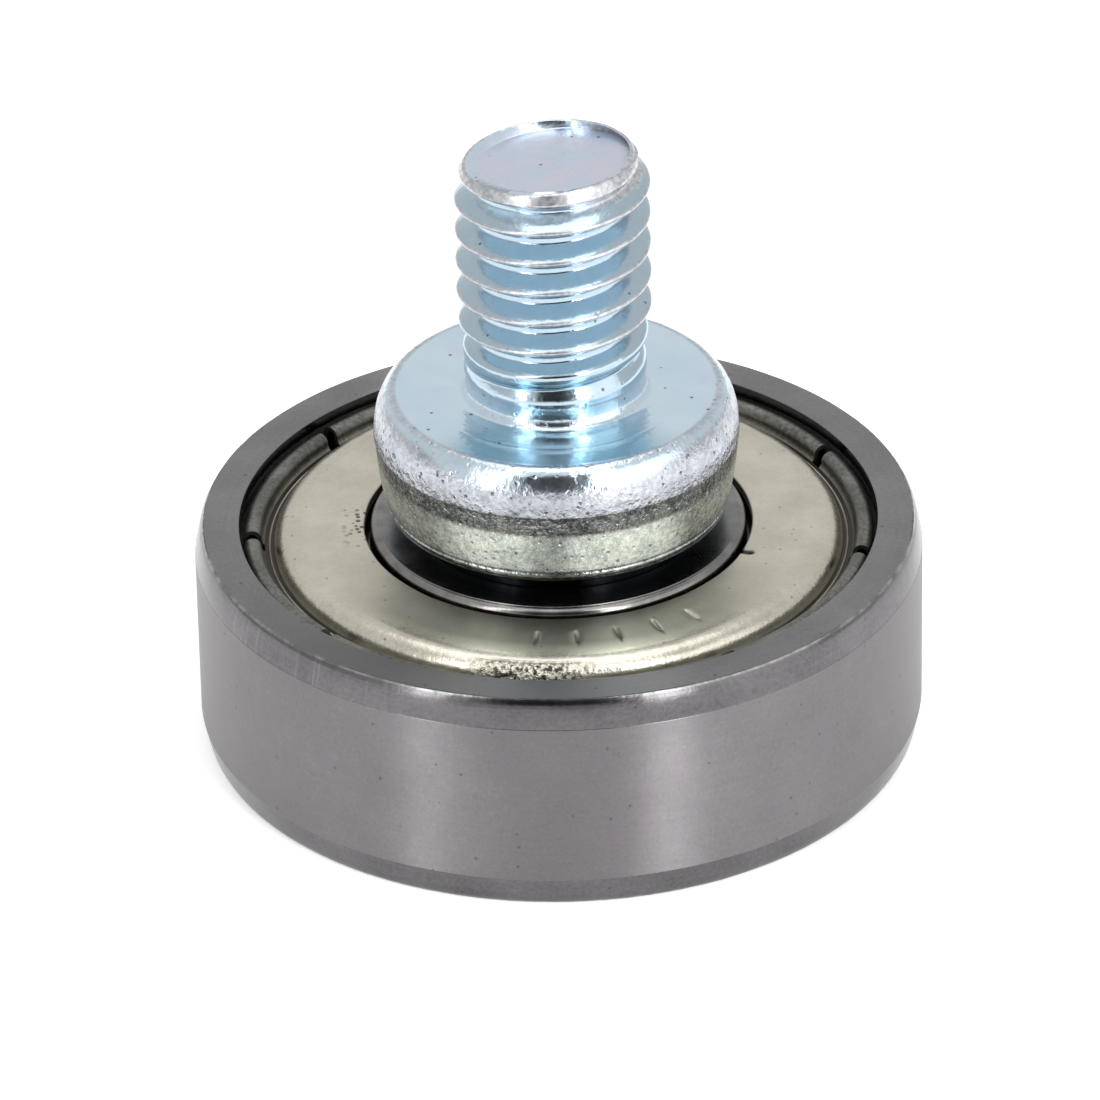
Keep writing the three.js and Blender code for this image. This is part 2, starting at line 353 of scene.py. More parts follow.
def paint(obj, **painted):
    """Float attributes on the points, each from a function of radius, height and angle."""
    mesh = obj.data
    co = np.zeros(len(mesh.vertices) * 3)
    mesh.vertices.foreach_get("co", co)
    points = [(math.hypot(x, y), z, math.atan2(y, x)) for x, y, z in co.reshape(-1, 3) / MM]
    for name, value_at in painted.items():
        layer = mesh.attributes.new(name, "FLOAT", "POINT")
        layer.data.foreach_set("value", [value_at(r, z, a) for r, z, a in points])


# ---------------------------------------------------------------- materials


class Shader:
    """A Principled material whose nodes are added one call at a time."""

    def __init__(self, name, **uniform):
        self.material = bpy.data.materials.new(name)
        self.material.use_nodes = True
        self.tree = self.material.node_tree
        self.bsdf = self.tree.nodes["Principled BSDF"]
        for socket, value in uniform.items():
            self.bsdf.inputs[socket.replace("_", " ")].default_value = value

    def node(self, kind, inputs=(), **settings):
        made = self.tree.nodes.new(kind)
        for key, value in settings.items():
            setattr(made, key, value)
        for socket, value in dict(inputs).items():
            self.feed(made.inputs[socket], value)
        return made

    def feed(self, socket, value):
        if isinstance(value, bpy.types.NodeSocket):
            self.tree.links.new(value, socket)
        else:
            socket.default_value = value

    def to(self, socket, value):
        self.feed(self.bsdf.inputs[socket], value)

    def position(self):
        """The piece's own coordinates, in millimetres."""
        coords = self.node("ShaderNodeTexCoord").outputs["Object"]
        return self.vector("SCALE", coords, scale=1 / MM)

    def vector(self, operation, a, b=None, scale=None):
        made = self.node("ShaderNodeVectorMath", operation=operation)
        self.feed(made.inputs[0], a)
        if b is not None:
            self.feed(made.inputs[1], b)
        if scale is not None:
            self.feed(made.inputs["Scale"], scale)
        return made.outputs["Value" if operation in ("LENGTH", "DOT_PRODUCT") else "Vector"]

    def math(self, operation, a, b=0.0, c=0.0):
        made = self.node("ShaderNodeMath", operation=operation)
        for socket, value in zip(made.inputs, (a, b, c)):
            self.feed(socket, value)
        return made.outputs[0]

    def stretched(self, point, factors):
        return self.vector("MULTIPLY", point, factors)

    def circular(self, point, across, along):
        """Coordinates for turned and ground faces: across scales the radius, along the turn."""
        flat = self.vector("MULTIPLY", point, (1, 1, 0))
        radius = self.vector("LENGTH", flat)
        heading = self.vector("SCALE", self.vector("NORMALIZE", flat), scale=along)
        rise = self.node("ShaderNodeCombineXYZ", {"Z": self.math("MULTIPLY", radius, across)})
        return self.vector("ADD", heading, rise.outputs[0])

    def noise(self, point, scale, detail=2.0, roughness=0.5, distortion=0.0):
        made = self.node(
            "ShaderNodeTexNoise",
            {"Vector": point, "Scale": scale, "Detail": detail, "Roughness": roughness,
             "Distortion": distortion},
        )
        return made.outputs["Fac"]

    def specks(self, point, scale, size, soft):
        """1 inside scattered round specks, 0 elsewhere."""
        cells = self.node("ShaderNodeTexVoronoi", {"Vector": point, "Scale": scale})
        return self.span(cells.outputs["Distance"], size + soft, size, 0.0, 1.0)

    def span(self, value, from_low, from_high, to_low, to_high):
        made = self.node(
            "ShaderNodeMapRange",
            {"Value": value, "From Min": from_low, "From Max": from_high, "To Min": to_low,
             "To Max": to_high},
        )
        return made.outputs[0]

    def mix(self, factor, a, b):
        made = self.node("ShaderNodeMix", data_type="RGBA")
        self.feed(made.inputs["Factor"], factor)
        for socket, value in ((made.inputs[6], a), (made.inputs[7], b)):
            self.feed(socket, value if isinstance(value, bpy.types.NodeSocket) else (*value, 1.0))
        return made.outputs[2]

    def attribute(self, name):
        return self.node("ShaderNodeAttribute", attribute_name=name).outputs["Fac"]

    def bump(self, height, distance, strength=1.0, normal=None):
        made = self.node(
            "ShaderNodeBump", {"Height": height, "Distance": distance * MM, "Strength": strength}
        )
        if normal is not None:
            self.feed(made.inputs["Normal"], normal)
        return made.outputs[0]


def ground_steel(name, dark, light, rough_low, rough_high):
    """Bearing steel: ground tread and faces, turned corners with fine scratches, and a burnished
    edge between them. The tread is darker, with a faint warm blush."""
    s = Shader(name, Metallic=1.0, Anisotropic_Rotation=0.25)
    s.to("Tangent", s.node("ShaderNodeTangent", direction_type="RADIAL", axis="Z").outputs[0])
    p = s.position()
    corner = s.attribute("corner")
    edge = s.attribute("edge")
    tread = s.noise(s.stretched(p, (0.25, 0.25, 9.0)), 1.0, 3.0, 0.6)
    face = s.noise(s.circular(p, 7.0, 3.0), 1.0, 3.0, 0.6)
    cloud = s.noise(p, 0.4, 3.0, 0.55)
    grain = s.noise(p, 9.0, 3.0, 0.7)
    hue = s.noise(s.vector("ADD", p, (11.0, 5.0, 2.0)), 2.2, 3.0, 0.6)
    scratches = s.noise(s.circular(p, 0.6, 70.0), 1.0, 3.0, 0.6)
    ground = s.math("ADD", tread, face)
    streak = s.math("MULTIPLY_ADD", ground, 0.12, s.math("MULTIPLY", cloud, 0.45))
    tone = s.span(s.math("MULTIPLY_ADD", grain, 0.45, streak), 0.42, 0.75, 0.0, 1.0)
    colour = s.mix(tone, dark, light)
    on_tread = s.attribute("tread")
    blush = s.math("MULTIPLY", s.span(hue, 0.42, 0.62, 0.0, 0.5), on_tread)
    colour = s.mix(blush, colour, (0.265, 0.235, 0.26))
    colour = s.mix(s.math("MULTIPLY", on_tread, 0.32), colour, (0.086, 0.078, 0.084))
    turned = s.mix(tone, (0.10, 0.096, 0.10), (0.175, 0.168, 0.175))
    scratched = s.span(scratches, 0.56, 0.72, 0.0, 0.35)
    scored = s.math("MULTIPLY", scratched, s.attribute("scuffed"))
    turned = s.mix(scored, turned, (0.34, 0.33, 0.34))
    colour = s.mix(corner, colour, turned)
    bright = s.span(hue, 0.40, 0.60, 0.0, 1.0)
    burnished = s.mix(bright, (0.20, 0.195, 0.195), (0.36, 0.35, 0.35))
    colour = s.mix(edge, colour, burnished)
    smear = s.math("MULTIPLY", s.attribute("smear"), s.span(cloud, 0.35, 0.6, 0.75, 1.0))
    colour = s.mix(smear, colour, (0.11, 0.11, 0.112))
    pits = s.specks(p, 1.4, 0.05, 0.04)
    s.to("Base Color", s.mix(s.math("MULTIPLY", pits, 0.5), colour, (0.05, 0.05, 0.055)))
    rough = s.math("MULTIPLY_ADD", tone, rough_high - rough_low, rough_low)
    rough = s.math("MULTIPLY_ADD", corner, -0.16, rough)
    s.to("Roughness", rough)
    s.to("Anisotropic", s.math("MULTIPLY_ADD", corner, -0.95, 0.95))
    fine = s.bump(grain, 0.003)
    s.to("Normal", s.bump(ground, 0.002, normal=fine))
    return s.material


def inner_steel():
    """Bearing steel whose ground face is painted with shade: near black at the front, where it
    reflects the collar's dark underside, and grey round the sides. The rounded outer corner is
    polished."""
    s = Shader("inner_ring_steel", Metallic=1.0)
    p = s.position()
    corner = s.attribute("corner")
    face = s.noise(s.circular(p, 6.0, 2.0), 1.0, 3.0, 0.6)
    cloud = s.noise(p, 1.1, 3.0, 0.6)
    grain = s.noise(p, 10.0, 2.0, 0.6)
    ground = s.span(face, 0.35, 0.65, 0.0, 1.0)
    patches = s.span(cloud, 0.35, 0.65, 0.0, 1.0)
    # Painted shade: the face is near black at the front and grey round the sides
    oily = s.mix(ground, (0.060, 0.064, 0.070), (0.095, 0.10, 0.108))
    wiped = s.mix(patches, (0.17, 0.172, 0.176), (0.26, 0.262, 0.266))
    face_colour = s.mix(s.attribute("wiped"), oily, wiped)
    corner_colour = s.mix(patches, (0.17, 0.165, 0.16), (0.27, 0.26, 0.25))
    s.to("Base Color", s.mix(corner, face_colour, corner_colour))
    rough = s.span(cloud, 0.3, 0.7, 0.26, 0.34)
    s.to("Roughness", s.math("MULTIPLY_ADD", corner, -0.08, rough))
    s.to("Normal", s.bump(grain, 0.002))
    return s.material


def shield_steel():
    """Tinned sheet, warm and satin: pressed grain, small dark specks and burrs, darker at the front
    by the hole, and a smoother bend that is crazed where it turns down. The curl is darker, and
    shade is painted near black in the valley and the knock."""
    s = Shader("shield_sheet", Metallic=1.0)
    p = s.position()
    rolled = s.attribute("rolled")
    cloud = s.noise(p, 0.7, 3.0, 0.6)
    grain = s.noise(p, 9.0, 3.0, 0.6)
    coarse = s.noise(p, 7.0, 3.0, 0.6)
    comb = s.noise(s.circular(p, 1.2, 26.0), 1.0, 2.0, 0.5)
    tone = s.math("MULTIPLY_ADD", grain, 0.35, s.math("MULTIPLY", cloud, 0.65))
    colour = s.mix(s.span(tone, 0.35, 0.65, 0.0, 1.0), (0.53, 0.50, 0.42), (0.64, 0.61, 0.52))
    dots = s.specks(p, 1.9, 0.05, 0.05)
    burrs = s.math("MULTIPLY", s.specks(p, 4.2, 0.26, 0.12), s.attribute("soiled"))
    dark = s.math("MAXIMUM", s.math("MULTIPLY", dots, 0.55), s.math("MULTIPLY", burrs, 0.9))
    colour = s.mix(dark, colour, (0.07, 0.065, 0.055))
    crazing = s.math("MULTIPLY", s.span(coarse, 0.47, 0.58, 0.0, 1.0), rolled)
    colour = s.mix(crazing, colour, (0.05, 0.045, 0.035))
    # The web is darker at the front by the hole
    greasy = s.math("MULTIPLY", s.attribute("grease"), 0.75)
    colour = s.mix(greasy, colour, (0.17, 0.17, 0.145))
    patchy = s.span(s.math("ADD", coarse, cloud), 0.8, 1.2, 0.0, 1.0)
    curled = s.mix(patchy, (0.11, 0.11, 0.10), (0.23, 0.235, 0.215))
    colour = s.mix(s.attribute("curl"), colour, curled)
    # Painted shade: the valley and the knock are near black
    s.to("Base Color", s.mix(s.attribute("hollow"), colour, (0.04, 0.037, 0.032)))
    rough = s.span(tone, 0.3, 0.7, 0.33, 0.43)
    s.to("Roughness", s.math("MULTIPLY_ADD", s.attribute("bend"), -0.12, rough))
    fine = s.bump(grain, 0.005)
    streaks = s.bump(s.math("MULTIPLY", comb, s.attribute("bend")), 0.008, normal=fine)
    s.to("Normal", s.bump(s.math("MULTIPLY", coarse, rolled), 0.10, normal=streaks))
    return s.material


def zinc_plate():
    """Blue-passivated zinc: smooth on the flat collar, dented and pitted where it was formed, and
    greenish with a dark band on the side. Painted shade makes the flank under each crest darker and
    bluer, and darkens a line in the groove above the foot and the collar's underside; a dark cyan
    reflection is painted on the collar in front of the neck, and a bright sheen on the front of the
    side."""
    s = Shader("blue_zinc", Metallic=1.0)
    p = s.position()
    worked = s.attribute("worked")
    crest = s.attribute("crest")
    cloud = s.noise(p, 0.55, 3.0, 0.55)
    tint = s.noise(s.vector("ADD", p, (7.0, 3.0, 1.0)), 0.8, 2.0, 0.5)
    grain = s.noise(p, 16.0, 3.0, 0.65)
    dent = s.noise(p, 1.7, 2.0, 0.5, 0.3)
    pebble = s.noise(p, 6.5, 2.5, 0.6)
    wash = s.noise(p, 1.6, 3.0, 0.6)
    pocks = s.specks(p, 3.2, 0.10, 0.12)
    film = s.attribute("film")
    face = s.attribute("face")
    patches = s.span(cloud, 0.35, 0.65, 0.0, 1.0)
    base = s.mix(patches, (0.62, 0.77, 0.88), (0.67, 0.81, 0.91))
    base = s.mix(s.span(tint, 0.55, 0.75, 0.0, 0.5), base, (0.66, 0.70, 0.86))
    base = s.mix(s.attribute("thread"), base, (0.43, 0.55, 0.63))
    # Painted shade: the flank under each crest is darker and bluer
    base = s.mix(s.attribute("groove"), base, (0.34, 0.47, 0.56))
    lilac = s.mix(s.span(tint, 0.4, 0.65, 0.0, 1.0), (0.62, 0.71, 0.83), (0.69, 0.70, 0.81))
    base = s.mix(face, base, lilac)
    # Painted reflection: dark cyan on the collar's top in front of the neck
    base = s.mix(s.math("MULTIPLY", film, 0.85), base, (0.34, 0.53, 0.63))
    mottle = s.span(s.math("ADD", pebble, wash), 0.75, 1.25, 0.0, 1.0)
    formed = s.mix(mottle, (0.28, 0.28, 0.305), (0.56, 0.56, 0.59))
    colour = s.mix(s.math("MULTIPLY", worked, 0.85), base, formed)
    bruises = s.span(pebble, 0.38, 0.6, 0.0, 1.0)
    bruised = s.mix(bruises, (0.42, 0.42, 0.435), (0.60, 0.61, 0.64))
    colour = s.mix(crest, colour, bruised)
    # Painted sheen: the front of the collar's side is lighter and less metallic
    sheen = s.attribute("sheen")
    rough_tone = s.span(s.math("MULTIPLY_ADD", pebble, 1.5, wash), 1.05, 1.45, 0.0, 1.0)
    side_dark = s.mix(sheen, (0.30, 0.335, 0.32), (0.56, 0.62, 0.58))
    side_light = s.mix(sheen, (0.56, 0.61, 0.59), (0.93, 0.99, 0.93))
    colour = s.mix(s.attribute("side"), colour, s.mix(rough_tone, side_dark, side_light))
    s.to("Metallic", s.math("MULTIPLY_ADD", sheen, -0.42, 1.0))
    # The dark band under the shoulder, and painted shade in the groove above the foot
    stained = s.mix(rough_tone, (0.14, 0.15, 0.155), (0.44, 0.46, 0.46))
    colour = s.mix(s.attribute("stain"), colour, stained)
    dark_pocks = s.math("MULTIPLY", s.math("MULTIPLY", pocks, worked), 0.75)
    colour = s.mix(dark_pocks, colour, (0.12, 0.13, 0.14))
    dots = s.specks(p, 1.3, 0.05, 0.04)
    colour = s.mix(s.math("MULTIPLY", dots, 0.8), colour, (0.05, 0.07, 0.08))
    # Painted shade: the boss and the collar's underside are near black
    s.to("Base Color", s.mix(s.attribute("oiled"), colour, (0.03, 0.032, 0.035)))
    plain = s.span(grain, 0.3, 0.7, 0.13, 0.19)
    rough = s.math("MULTIPLY_ADD", worked, 0.13, plain)
    rough = s.math("MULTIPLY_ADD", crest, 0.18, rough)
    rough = s.math("MULTIPLY_ADD", film, 0.07, rough)
    s.to("Roughness", s.math("MULTIPLY_ADD", face, 0.14, rough))
    low = s.bump(dent, 0.03, 0.6)
    height = s.math("MULTIPLY", s.math("MULTIPLY_ADD", pocks, -0.6, pebble), worked)
    s.to("Normal", s.bump(height, 0.035, normal=low))
    return s.material


def ball_steel():
    """Lapped chrome steel with a trace of oil and hair-fine running lines."""
    s = Shader("ball_chrome_steel", Metallic=1.0)
    p = s.position()
    cloud = s.noise(p, 1.2, 3.0, 0.5)
    lines = s.noise(s.stretched(p, (1.0, 1.0, 22.0)), 1.5, 2.0, 0.5)
    s.to("Base Color", s.mix(cloud, (0.50, 0.50, 0.51), (0.62, 0.62, 0.62)))
    s.to("Roughness", s.span(s.math("ADD", cloud, lines), 0.7, 1.3, 0.04, 0.12))
    s.to("Normal", s.bump(lines, 0.001))
    return s.material


def cage_steel():
    """Pressed low-carbon strip, satin from the press under a thin coat of lubricant."""
    s = Shader("cage_strip", Metallic=1.0)
    p = s.position()
    cloud = s.noise(p, 1.4, 4.0, 0.6)
    grain = s.noise(p, 12.0, 3.0, 0.6)
    s.to("Base Color", s.mix(cloud, (0.30, 0.27, 0.22), (0.46, 0.43, 0.37)))
    s.to("Roughness", s.span(grain, 0.3, 0.7, 0.25, 0.42))
    s.to("Normal", s.bump(s.math("MULTIPLY_ADD", cloud, 2.0, grain), 0.006))
    return s.material


# ---------------------------------------------------------------- bearing rings


def mirrored(upper):
    return upper + [(r, WIDTH - z) for r, z in reversed(upper)]


def groove_opening(centre_r, land_r):
    """The angle at the ball groove's centre from the mid-width plane to the land, in degrees."""
    return math.degrees(math.acos(abs(land_r - centre_r) / GROOVE_R))


def outer_ring():
    centre = PITCH_R + BALL_R + OUTER_PLAY - GROOVE_R
    corner = [
        (TREAD_R, CORNER_FOOT_Z),
        (TREAD_R - 0.008, CORNER_FOOT_Z + 0.015),
        *CORNER_CURVE,
        (CORNER_TOP_R + 0.035, WIDTH - 0.022),
        (CORNER_TOP_R + 0.020, WIDTH - 0.006),
        (CORNER_TOP_R - 0.006, WIDTH),
    ]
    shoulder = rounded(
        [
            (CORNER_TOP_R - 0.05, WIDTH),
            (LIP_R, WIDTH, 0.05),
            (LIP_R, LIP_Z, 0.02),
            (SHIELD_GROOVE_R, LIP_Z - 0.1, 0.03),
            (SHIELD_GROOVE_R, SHELF_Z, 0.06),
            (OUTER_LAND_R, SHELF_Z, 0.05),
            (OUTER_LAND_R, SHELF_Z - 0.3),
        ]
    )
    opening = groove_opening(centre, OUTER_LAND_R)
    groove = arc(centre, MID_Z, GROOVE_R, GROOVE_R, opening, opening / 20, 10)
    profile = mirrored([(TREAD_R, 4.2), (TREAD_R, 5.2)] + corner + shoulder + groove)

    def worn(r, z, a):
        """The edge of the face wanders by a few microns."""
        near_edge = smoothstep(MID_Z - 0.5, MID_Z - 0.1, abs(z - MID_Z))
        near_edge *= smoothstep(CORNER_TOP_R - 0.07, CORNER_TOP_R - 0.01, r)
        return r - near_edge * (0.012 * ripple(5, a, z) + 0.006 * ripple(40, a, z) + 0.012), z

    return revolve(dense(profile, 0.5), around(2 * COLUMNS), warp=worn)


def corner_at(r, z, a):
    """1 on the turned corners between the ground tread and faces, and inside the lips."""
    height = abs(z - MID_Z)
    corner = r > CORNER_TOP_R - 0.03 and height > CORNER_FOOT_Z - MID_Z + 0.01
    return 1.0 if corner or r < LIP_R + 0.01 else 0.0


def edge_at(r, z, a):
    """1 on the burnished edge between a face and its corner."""
    return 1.0 if abs(z - MID_Z) > MID_Z - 0.03 and r > CORNER_TOP_R - 0.02 else 0.0


def scuffed_at(r, z, a):
    """1 where handling has scored the upper corner."""
    return around_mark(a, SCUFF) if z > MID_Z else 0.0


def smear_at(r, z, a):
    """How grey a thumb has smeared the upper face, fading round the ring."""
    return 0.8 * around_mark(a, SMEAR) if z > WIDTH - 0.01 and r > LIP_R + 0.01 else 0.0


def tread_at(r, z, a):
    return 1.0 if r > TREAD_R - 0.02 else 0.0


def inner_ring():
    centre = PITCH_R - BALL_R - INNER_PLAY + GROOVE_R
    opening = groove_opening(centre, INNER_OUTER_R)
    groove = arc(centre, MID_Z, GROOVE_R, GROOVE_R, 180 - opening / 20, 180 - opening, 10)
    step = rounded(
        [
            (INNER_OUTER_R, INNER_STEP_Z - 0.2),
            (INNER_OUTER_R, INNER_STEP_Z, 0.04),
            (INNER_STEP_R, INNER_STEP_Z, 0.04),
            (INNER_STEP_R, WIDTH - INNER_CORNER_W - 0.05),
        ]
    )
    corner_z = WIDTH - INNER_CORNER_W - 0.02
    corner = arc(INNER_FACE_R, corner_z, INNER_CORNER_W, INNER_CORNER_W, 0, 84, 8)
    bore = rounded(
        [
            (INNER_FACE_R + 0.005, WIDTH),
            (BORE_R + INNER_CHAMFER, WIDTH, 0.04),
            (BORE_R, WIDTH - INNER_CHAMFER, 0.04),
            (BORE_R, WIDTH - 0.6),
        ]
    )
    return revolve(dense(mirrored(groove + step + corner + bore), 0.3), around(COLUMNS))


def inner_corner_at(r, z, a):
    return smoothstep(INNER_FACE_R - 0.02, INNER_FACE_R + 0.04, r)


def wiped_at(r, z, a):
    """0 where the inner ring's face is painted near black as shade at the front, rising to 1 round
    the sides.
    """
    return 1 - around_mark(a, OIL)


# ---------------------------------------------------------------- shields


NOTCH = [math.radians(d) for d in NOTCH_DEG]
NOTCH_HALF = NOTCH_HALF_W / CURL_R
TICK = [math.radians(d) for d in TICK_DEG]
TICK_SLOPE = TICK_BEVEL / TICK_R
NICK = math.radians(NICK_DEG)


def shield_columns():
    """Even columns round the shield, with extra ones at the edges of notches, ticks and knock."""
    exact = []
    for a in NOTCH:
        exact += [a - NOTCH_HALF, a + NOTCH_HALF]
    for a in TICK + [NICK]:
        for share in (0, 0.3, 0.6, 1):
            exact += [a - share * TICK_SLOPE, a + share * TICK_SLOPE]
    exact = sorted({round(a % (2 * math.pi), 9) for a in exact})
    clear = math.radians(0.35)
    even = [a for a in around(COLUMNS) if all(abs(turn_difference(a, e)) > clear for e in exact)]
    return sorted(exact + even)


def in_notch(a):
    return any(abs(turn_difference(a, n)) < NOTCH_HALF * 0.98 for n in NOTCH)


def shield():
    under_z = SHIELD_TOP_Z - SHIELD_SHEET
    edge_z = SHIELD_TOP_Z - SHIELD_EDGE_H
    knock_rows = (5.93, 6.05, 6.15, 6.22, 6.28, 6.34, 6.5)
    tick_rows = (
        TICK_R - TICK_HALF_L - TICK_BEVEL,
        TICK_R - TICK_HALF_L - TICK_BEVEL / 2,
        TICK_R - TICK_HALF_L,
        TICK_R,
        TICK_R + TICK_HALF_L,
        TICK_R + TICK_HALF_L + TICK_BEVEL / 2,
        TICK_R + TICK_HALF_L + TICK_BEVEL,
    )
    top = [(r, SHIELD_TOP_Z) for r in (*knock_rows, *tick_rows, 7.6)]
    roll = arc(SHIELD_FLAT_R, edge_z, SHIELD_EDGE_W, SHIELD_EDGE_H, 90, 6, 14)
    plate = [
        (VALLEY_OUT_R, SHIELD_SEAT_Z),
        (8.4, SHIELD_SEAT_Z),
        *SHIELD_UNDER_CURVE,
        (7.85, under_z),
        (6.7, under_z),
        (SHIELD_HOLE_R + 0.05, under_z),
        (SHIELD_HOLE_R, under_z + 0.04),
        (SHIELD_HOLE_R, SHIELD_TOP_Z - 0.06),
        (SHIELD_HOLE_R + 0.015, SHIELD_TOP_Z - 0.02),
        (SHIELD_HOLE_R + 0.045, SHIELD_TOP_Z),
        *top,
        *roll,
        (VALLEY_IN_R, VALLEY_Z),
        (VALLEY_IN_R + 0.07, VALLEY_Z),
        (VALLEY_IN_R + 0.11, VALLEY_Z + 0.025),
        (VALLEY_IN_R + 0.15, VALLEY_Z),
        (VALLEY_OUT_R, VALLEY_Z),
    ]
    curl = [
        (VALLEY_OUT_R + 0.05, VALLEY_Z + 0.04),
        *arc(CURL_R, CURL_Z, CURL_OUT_R, CURL_OUT_R, 190, -20, 14),
        (9.55, VALLEY_Z + 0.03),
        (SHIELD_RIM_R, VALLEY_Z),
        (SHIELD_RIM_R, SHIELD_SEAT_Z),
        (CURL_R + CURL_IN_R, SHIELD_SEAT_Z),
        *arc(CURL_R, CURL_Z, CURL_IN_R, CURL_IN_R, 0, 180, 8),
        (CURL_R - CURL_IN_R, SHIELD_SEAT_Z),
    ]

    def shaped(r, z, a):
        """Ticks and the knock on the flat; the hole's edge and the bend wander a little."""
        if z > SHIELD_TOP_Z - 0.07 and r < SHIELD_FLAT_R:
            for t in TICK:
                across = plateau(turn_difference(a, t) * TICK_R, 0, TICK_BEVEL)
                along = plateau(r - TICK_R, TICK_HALF_L, TICK_BEVEL)
                z -= TICK_DEPTH * across * along
            across = plateau(turn_difference(a, NICK) * TICK_R, 0, NICK_HALF_W)
            z -= NICK_DEPTH * across * (1 - smoothstep(NICK_R - 0.2, NICK_R, r))
        if r < SHIELD_HOLE_R + 0.08:
            r += 0.012 * ripple(6, a, z)
        if SHIELD_FLAT_R < r < VALLEY_OUT_R and z > VALLEY_Z + 0.03:
            z -= 0.010 * (ripple(2 * r, a, 2.0) + 0.5) * smoothstep(SHIELD_FLAT_R, 8.2, r)
        return r, z

    section = plate + curl
    rows = len(section)
    columns = shield_columns()
    count = len(columns)
    verts = []
    for a in columns:
        for r, z in section:
            r, z = shaped(r, z, a)
            verts.append(polar(r, a, z))
    faces = []
    open_spans = []
    for j in range(count):
        k = (j + 1) % count
        middle = columns[j] + turn_difference(columns[k], columns[j]) / 2
        cut = in_notch(middle)
        open_spans.append(cut)
        loop = list(range(len(plate) if cut else rows))
        for i, n in zip(loop, loop[1:] + loop[:1]):
            faces.append((j * rows + i, k * rows + i, k * rows + n, j * rows + n))
    for j in range(count):
        if open_spans[j] != open_spans[j - 1]:
            cap = [len(plate) - 1, *range(len(plate), rows), 0]
            faces.append(tuple(j * rows + i for i in cap))
    return verts, faces


def bend_at(r, z, a):
    return band(r, *BEND_BAND_R)


def rolled_at(r, z, a):
    """How crazed the bend is: most where it was pressed hardest, and only where it is steep."""
    return (0.09 + 0.91 * around_mark(a, CRAZING)) * band(r, *CRAZING_BAND_R)


def soiled_at(r, z, a):
    """1 on the patch of dark burrs beside the hole, fading out from it."""
    if z < 6.7:
        return 0.0
    away = turn_difference(a, math.radians(BURRS_DEG)) * r
    return plateau(away, BURRS_HALF_W, BURRS_FADE_W) * (1 - smoothstep(*BURRS_FADE_R, r))


def grease_at(r, z, a):
    """How much darker the web is: most by the hole at one side, less round the ring."""
    if z < SHIELD_TOP_Z - 0.1 or r > 8.0:
        return 0.0
    return around_mark(a, GREASE) * (1 - smoothstep(7.2, SHIELD_FLAT_R, r))


def curl_at(r, z, a):
    return smoothstep(VALLEY_OUT_R - 0.03, VALLEY_OUT_R + 0.07, r)


def hollow_at(r, z, a):
    """1 where shade is painted near black: in the valley and in the knock at the hole's edge."""
    in_knock = r < NICK_R - 0.03 and abs(turn_difference(a, NICK)) * r < NICK_HALF_W
    sunk = 6.6 < z < SHIELD_TOP_Z - 0.01
    return 1.0 if z < VALLEY_Z + 0.02 or (in_knock and sunk) else 0.0


# ---------------------------------------------------------------- stud


def plane_height(plane, r, a):
    return plane[0] + r * (plane[1] * math.cos(a) + plane[2] * math.sin(a))


def cone_radius(z):
    return THREAD_CREST_R - CONE_SLOPE * max(0.0, z - CONE_Z)


def ridge(a):
    """Radius and height of the rim at angle a, where the point's cone meets the sheared end."""
    rise = END_PLANE[1] * math.cos(a) + END_PLANE[2] * math.sin(a)
    r = (THREAD_CREST_R - CONE_SLOPE * (END_PLANE[0] - CONE_Z)) / (1 + CONE_SLOPE * rise)
    return r, END_PLANE[0] + r * rise


def thread_top(a):
    return ridge(a)[1] - 0.05


def soft_ramp(x, width):
    """x where it is well above zero and 0 well below it, with a rounded bend between."""
    return (math.sqrt(x * x + width * width) + x) / 2


def thread_phase(z, a):
    """Height above the nearest crest, as a share of the pitch, from -0.5 to 0.5."""
    u = (z - THREAD_PHASE_Z) / THREAD_PITCH - a / (2 * math.pi)
    return u - round(u)


def thread_radius(z, a):
    """The stud's radius where the thread runs: the groove deepens before the crest has fully risen
    at the neck, and both die out into the cone at the free end."""
    u = abs(thread_phase(z, a))
    wear = 0.012 - 0.008 * ripple(2.5, a, 1.7 * z) - 0.004 * ripple(14, a, 5.0 * z)
    r = THREAD_CREST_R - wear - soft_ramp(u - THREAD_CREST_HALF, 0.04) / THREAD_FLANK
    r = THREAD_ROOT_R + soft_ramp(r - THREAD_ROOT_R, 0.025)
    grown = smoothstep(*(CREST_GROWS_Z if r > NECK_R else ROOT_GROWS_Z), z)
    r = lerp(NECK_R, r, grown)
    cone = cone_radius(z)
    r = min(r, cone)
    return lerp(r, cone, smoothstep(THREAD_END_Z, thread_top(a) - 0.02, z))


def thread_grid():
    """Quads that follow the helix: row k at column j lies at one fixed phase of the thread."""
    half = [0.0, 0.025, 0.05, 0.07, 0.095, 0.13, 0.18, 0.24, 0.30, 0.35, 0.385, 0.41, 0.45]
    phases = [-0.5] + [-u for u in reversed(half[1:])] + half
    per_turn = len(phases)
    first = math.floor(THREAD_LOW_Z - THREAD_PHASE_Z) - 2
    last = math.ceil(STUD_END_Z - THREAD_PHASE_Z) + 1
    levels = [THREAD_PHASE_Z + m + u for m in range(first, last + 1) for u in phases]
    rows = len(levels)
    snap = 0.012
    verts = []
    for j, a in enumerate(around(COLUMNS)):
        top = thread_top(a)
        for level in levels:
            z = level + THREAD_PITCH * j / COLUMNS
            z = THREAD_LOW_Z if z < THREAD_LOW_Z + snap else z
            z = top if z > top - snap else z
            verts.append(polar(thread_radius(z, a), a, z))
    faces = []
    for j in range(COLUMNS):
        k = (j + 1) % COLUMNS
        lift = per_turn if k == 0 else 0
        for i in range(rows - 1 - lift):
            here, there = j * rows + i, k * rows + i + lift
            faces.append((here, there, there + 1, here + 1))
    return verts, faces


